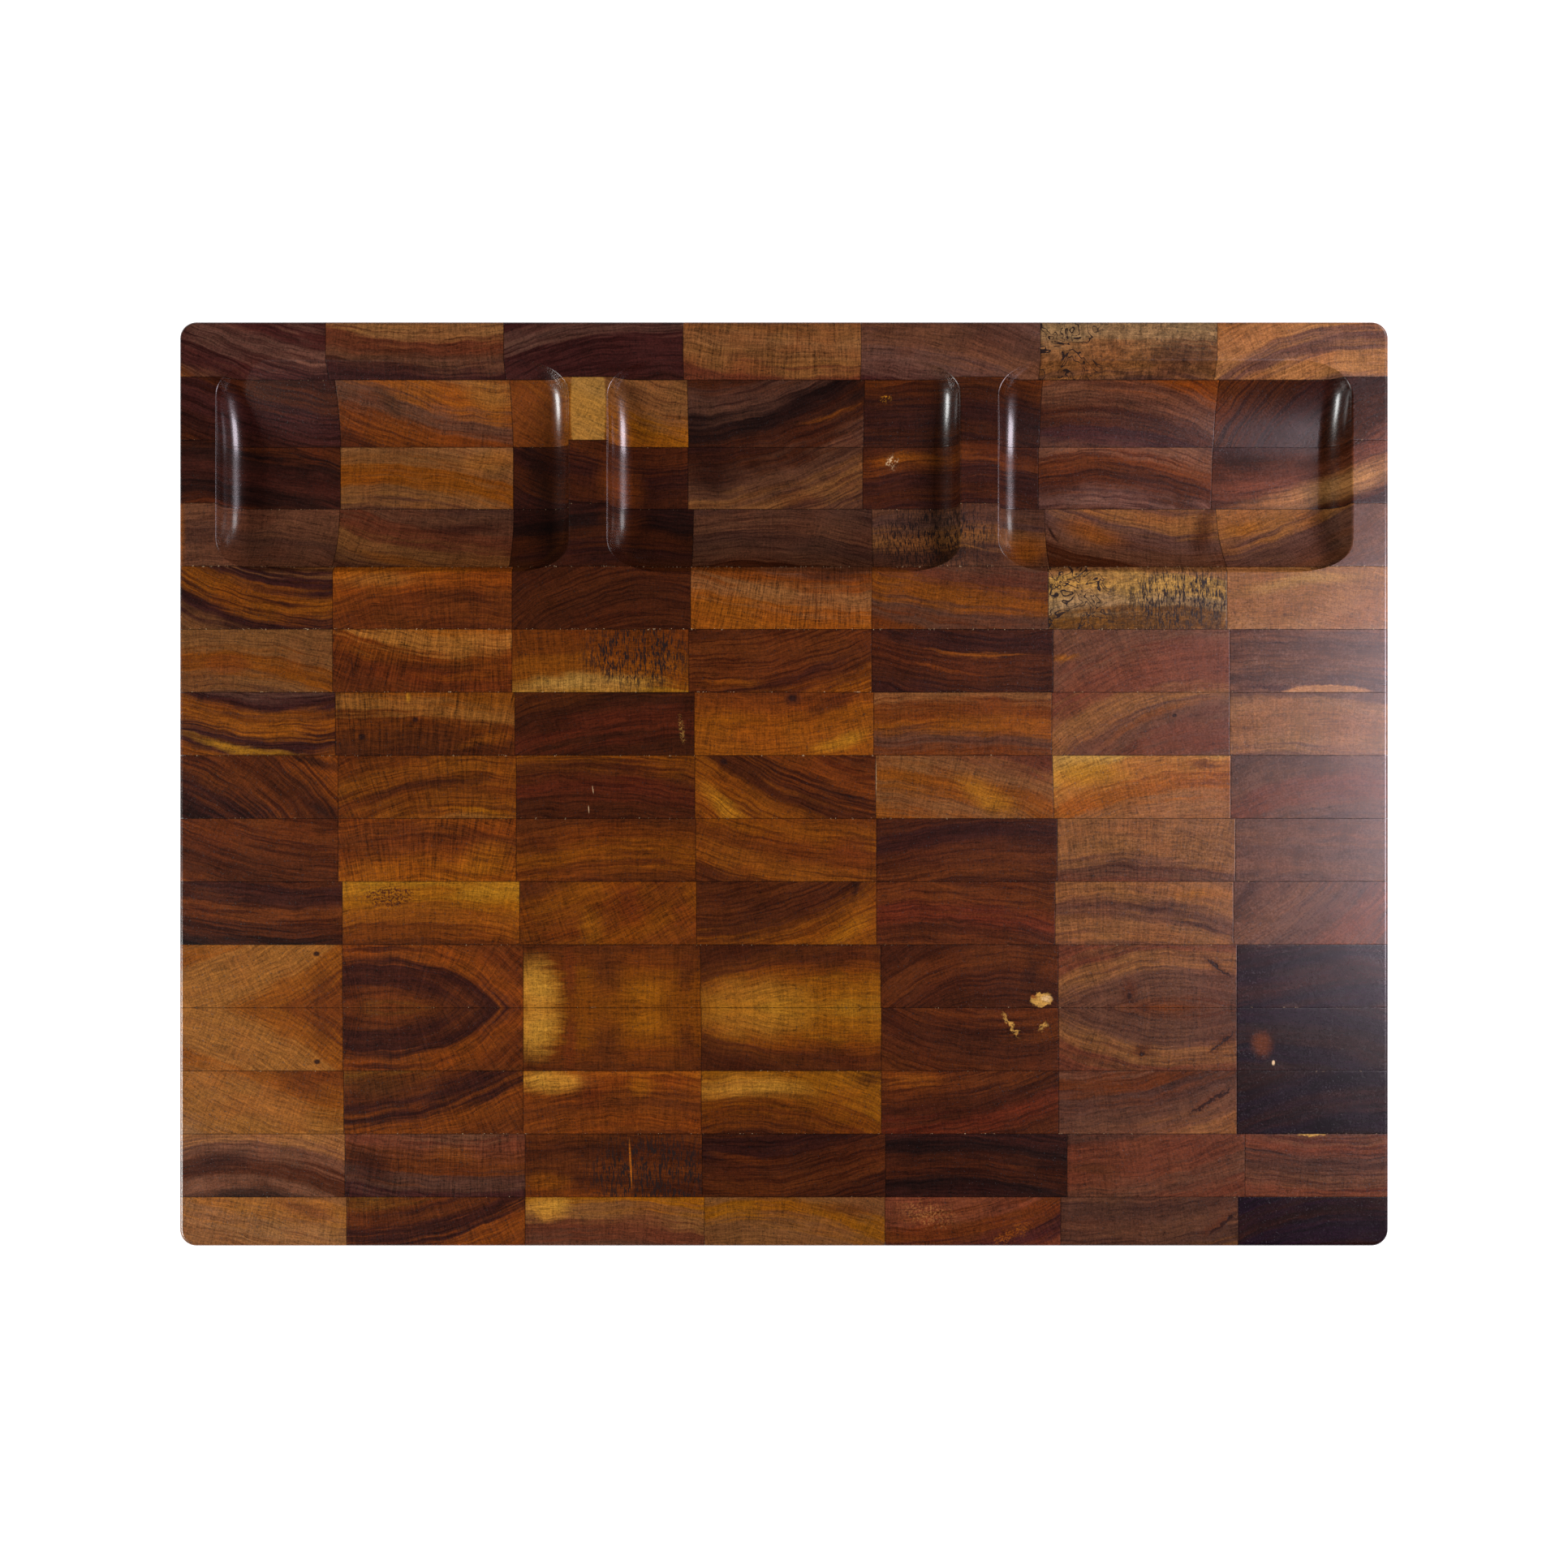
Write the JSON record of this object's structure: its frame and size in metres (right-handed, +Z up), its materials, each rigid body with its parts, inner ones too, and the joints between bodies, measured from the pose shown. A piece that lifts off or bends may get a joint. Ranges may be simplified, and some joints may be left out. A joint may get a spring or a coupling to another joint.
{
  "type": "cutting board",
  "caption": "Thick end-grain wooden cutting board with a row of rectangular prep wells along its back edge, standing on screwed-on rubber feet.",
  "frame": {"origin": "middle of the board, at the level the feet stand on", "axes": "+X along the board's length, +Y to the back edge where the wells are, +Z up"},
  "size_m": [0.4318, 0.3302, 0.0461],
  "materials": {
    "end_grain_wood": "oiled end grain, satin",
    "foot_rubber": "matt moulded rubber",
    "stainless_steel": "plain stainless fasteners"
  },
  "bodies": {
    "root": {"end_grain_block_01_1": "end_grain_wood", "end_grain_block_01_2": "end_grain_wood", "end_grain_block_01_3": "end_grain_wood", "end_grain_block_01_4": "end_grain_wood", "end_grain_block_01_5": "end_grain_wood", "end_grain_block_01_6": "end_grain_wood", "end_grain_block_01_7": "end_grain_wood", "end_grain_block_02_1": "end_grain_wood", "end_grain_block_02_2": "end_grain_wood", "end_grain_block_02_3": "end_grain_wood", "end_grain_block_02_4": "end_grain_wood", "end_grain_block_02_5": "end_grain_wood", "end_grain_block_02_6": "end_grain_wood", "end_grain_block_02_7": "end_grain_wood", "end_grain_block_03_1": "end_grain_wood", "end_grain_block_03_2": "end_grain_wood", "end_grain_block_03_3": "end_grain_wood", "end_grain_block_03_4": "end_grain_wood", "end_grain_block_03_5": "end_grain_wood", "end_grain_block_03_6": "end_grain_wood", "end_grain_block_03_7": "end_grain_wood", "end_grain_block_04_1": "end_grain_wood", "end_grain_block_04_2": "end_grain_wood", "end_grain_block_04_3": "end_grain_wood", "end_grain_block_04_4": "end_grain_wood", "end_grain_block_04_5": "end_grain_wood", "end_grain_block_04_6": "end_grain_wood", "end_grain_block_04_7": "end_grain_wood", "end_grain_block_05_1": "end_grain_wood", "end_grain_block_05_2": "end_grain_wood", "end_grain_block_05_3": "end_grain_wood", "end_grain_block_05_4": "end_grain_wood", "end_grain_block_05_5": "end_grain_wood", "end_grain_block_05_6": "end_grain_wood", "end_grain_block_05_7": "end_grain_wood", "end_grain_bar_06": "end_grain_wood", "end_grain_bar_07": "end_grain_wood", "end_grain_bar_08": "end_grain_wood", "end_grain_bar_09": "end_grain_wood", "end_grain_bar_10": "end_grain_wood", "end_grain_bar_11": "end_grain_wood", "end_grain_bar_12": "end_grain_wood", "end_grain_bar_13": "end_grain_wood", "end_grain_bar_14": "end_grain_wood", "end_grain_bar_15": "end_grain_wood", "rubber_foot_back_left": "foot_rubber", "steel_washer_back_left": "stainless_steel", "foot_screw_back_left": "stainless_steel", "rubber_foot_back_right": "foot_rubber", "steel_washer_back_right": "stainless_steel", "foot_screw_back_right": "stainless_steel", "rubber_foot_front_left": "foot_rubber", "steel_washer_front_left": "stainless_steel", "foot_screw_front_left": "stainless_steel", "rubber_foot_front_right": "foot_rubber", "steel_washer_front_right": "stainless_steel", "foot_screw_front_right": "stainless_steel"}
  },
  "joints": []
}
